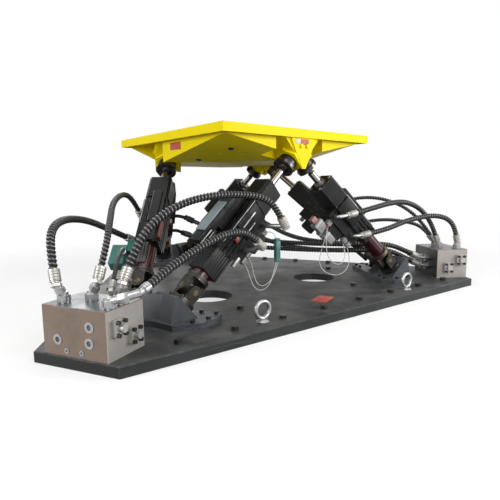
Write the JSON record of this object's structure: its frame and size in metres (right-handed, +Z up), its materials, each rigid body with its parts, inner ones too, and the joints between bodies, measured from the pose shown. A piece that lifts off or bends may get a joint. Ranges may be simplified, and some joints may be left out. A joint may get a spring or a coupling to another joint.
{
  "type": "hydraulic motion platform",
  "caption": "Hydraulic motion platform: a yellow tray on hydraulic legs with joints at both ends, on a three-sided ground plate with hose manifolds.",
  "frame": {"origin": "middle of the base plate's underside, on the floor", "axes": "+Z up, -Y towards the long side that faces the camera, +X to the right of it"},
  "size_m": [3.044, 2.6369, 1.054],
  "materials": {
    "base_steel": "satin dark grey",
    "black_bolts": "blackened",
    "bright_zinc": "bright zinc",
    "block_steel": "machined, plated",
    "yellow_paint": "gloss",
    "bracket_grey": "satin",
    "black_housing": "satin anodised",
    "maroon_barrel": "gloss",
    "hard_chrome": "polished",
    "fitting_zinc": "zinc plated",
    "hose_rubber": "matt, spiral guard",
    "joint_steel": "oiled",
    "grey_aluminium": "satin",
    "wire_plastic": "matt"
  },
  "bodies": {
    "base": {"base_plate": "base_steel", "anchor_bolts": "black_bolts", "lifting_eyes": "bright_zinc", "manifolds": "block_steel", "manifold_plugs": "block_steel", "port_flanges": "block_steel", "socket_screws": "black_bolts", "base_brackets": "bracket_grey", "lower_yokes": "joint_steel", "block_fittings": "fitting_zinc", "hose_back_1": "hose_rubber", "hose_back_2": "hose_rubber", "hose_back_3": "hose_rubber", "hose_back_4": "hose_rubber", "hose_left_1": "hose_rubber", "hose_left_2": "hose_rubber", "hose_left_3": "hose_rubber", "hose_left_4": "hose_rubber", "hose_left_5": "hose_rubber", "hose_right_1": "hose_rubber", "hose_right_2": "hose_rubber", "hose_right_3": "hose_rubber", "hose_right_4": "hose_rubber"},
    "platform": {"platform_plate": "yellow_paint", "underframe": "yellow_paint", "joint_brackets": "yellow_paint", "joint_sockets": "joint_steel", "retaining_rings": "joint_steel"},
    "cylinder_1": {"cross_1": "joint_steel", "barrel_1": "maroon_barrel", "housing_1": "black_housing", "valves_1": "grey_aluminium"},
    "piston_rod_1": {"rod_1": "hard_chrome"},
    "cylinder_2": {"cross_2": "joint_steel", "barrel_2": "maroon_barrel", "housing_2": "black_housing", "valves_2": "grey_aluminium", "signal_wires_2": "wire_plastic"},
    "piston_rod_2": {"rod_2": "hard_chrome"},
    "cylinder_3": {"cross_3": "joint_steel", "barrel_3": "maroon_barrel", "housing_3": "black_housing", "valves_3": "grey_aluminium", "signal_wires_3": "wire_plastic"},
    "piston_rod_3": {"rod_3": "hard_chrome"},
    "cylinder_4": {"cross_4": "joint_steel", "barrel_4": "maroon_barrel", "housing_4": "black_housing", "valves_4": "grey_aluminium"},
    "piston_rod_4": {"rod_4": "hard_chrome"},
    "cylinder_5": {"cross_5": "joint_steel", "barrel_5": "maroon_barrel", "housing_5": "black_housing", "valves_5": "grey_aluminium"},
    "piston_rod_5": {"rod_5": "hard_chrome"},
    "cylinder_6": {"cross_6": "joint_steel", "barrel_6": "maroon_barrel", "housing_6": "black_housing", "valves_6": "grey_aluminium"},
    "piston_rod_6": {"rod_6": "hard_chrome"}
  },
  "joints": [
    {"name": "heave", "type": "slide", "parent": "base", "child": "platform", "axis": [0, 0, 1], "range_m": [0, 0.18]},
    {"name": "leg_1_pitch", "type": "hinge", "parent": "base", "child": "cylinder_1", "pos_m": [-0.94103, -0.3701, 0.198], "axis": [0.7684, -0.64, 0], "range_deg": [0, 7.02], "deforming": ["hose_left_1", "hose_left_2", "hose_left_3"]},
    {"name": "leg_1_stroke", "type": "slide", "parent": "cylinder_1", "child": "piston_rod_1", "axis": [0.4638, 0.5568, 0.6891], "range_m": [0, 0.1325]},
    {"name": "leg_2_pitch", "type": "hinge", "parent": "base", "child": "cylinder_2", "pos_m": [-0.79102, -0.6299, 0.198], "axis": [0.1415, -0.9899, 0], "range_deg": [0, 7.03], "deforming": ["hose_left_4", "hose_left_5"]},
    {"name": "leg_2_stroke", "type": "slide", "parent": "cylinder_2", "child": "piston_rod_2", "axis": [0.7465, 0.1067, 0.6568], "range_m": [0, 0.127]},
    {"name": "leg_3_pitch", "type": "hinge", "parent": "base", "child": "cylinder_3", "pos_m": [0.79102, -0.6299, 0.198], "axis": [0.1701, 0.9854, 0], "range_deg": [0, 7.02], "deforming": ["hose_right_1", "hose_right_2"]},
    {"name": "leg_3_stroke", "type": "slide", "parent": "cylinder_3", "child": "piston_rod_3", "axis": [-0.7141, 0.1233, 0.6891], "range_m": [0, 0.1325]},
    {"name": "leg_4_pitch", "type": "hinge", "parent": "base", "child": "cylinder_4", "pos_m": [0.94103, -0.3701, 0.198], "axis": [0.7866, 0.6175, 0], "range_deg": [0, 7.03], "deforming": ["hose_right_3", "hose_right_4"]},
    {"name": "leg_4_stroke", "type": "slide", "parent": "cylinder_4", "child": "piston_rod_4", "axis": [-0.4657, 0.5932, 0.6568], "range_m": [0, 0.127]},
    {"name": "leg_5_pitch", "type": "hinge", "parent": "base", "child": "cylinder_5", "pos_m": [0.15, 1, 0.198], "axis": [-0.9385, -0.3454, 0], "range_deg": [0, 7.02], "deforming": ["hose_back_1", "hose_back_2"]},
    {"name": "leg_5_stroke", "type": "slide", "parent": "cylinder_5", "child": "piston_rod_5", "axis": [0.2503, -0.68, 0.6891], "range_m": [0, 0.1325]},
    {"name": "leg_6_pitch", "type": "hinge", "parent": "base", "child": "cylinder_6", "pos_m": [-0.15, 1, 0.198], "axis": [-0.9281, 0.3724, 0], "range_deg": [0, 7.03], "deforming": ["hose_back_3", "hose_back_4"]},
    {"name": "leg_6_stroke", "type": "slide", "parent": "cylinder_6", "child": "piston_rod_6", "axis": [-0.2809, -0.6999, 0.6568], "range_m": [0, 0.127]}
  ],
  "couplings": [
    {"joint": "leg_1_pitch", "follows": "heave", "rad_per_m": 0.67562},
    {"joint": "leg_1_stroke", "follows": "heave", "ratio": 0.73324},
    {"joint": "leg_2_pitch", "follows": "heave", "rad_per_m": 0.67727},
    {"joint": "leg_2_stroke", "follows": "heave", "ratio": 0.70278},
    {"joint": "leg_3_pitch", "follows": "heave", "rad_per_m": 0.67562},
    {"joint": "leg_3_stroke", "follows": "heave", "ratio": 0.73324},
    {"joint": "leg_4_pitch", "follows": "heave", "rad_per_m": 0.67727},
    {"joint": "leg_4_stroke", "follows": "heave", "ratio": 0.70278},
    {"joint": "leg_5_pitch", "follows": "heave", "rad_per_m": 0.67562},
    {"joint": "leg_5_stroke", "follows": "heave", "ratio": 0.73324},
    {"joint": "leg_6_pitch", "follows": "heave", "rad_per_m": 0.67727},
    {"joint": "leg_6_stroke", "follows": "heave", "ratio": 0.70278}
  ]
}
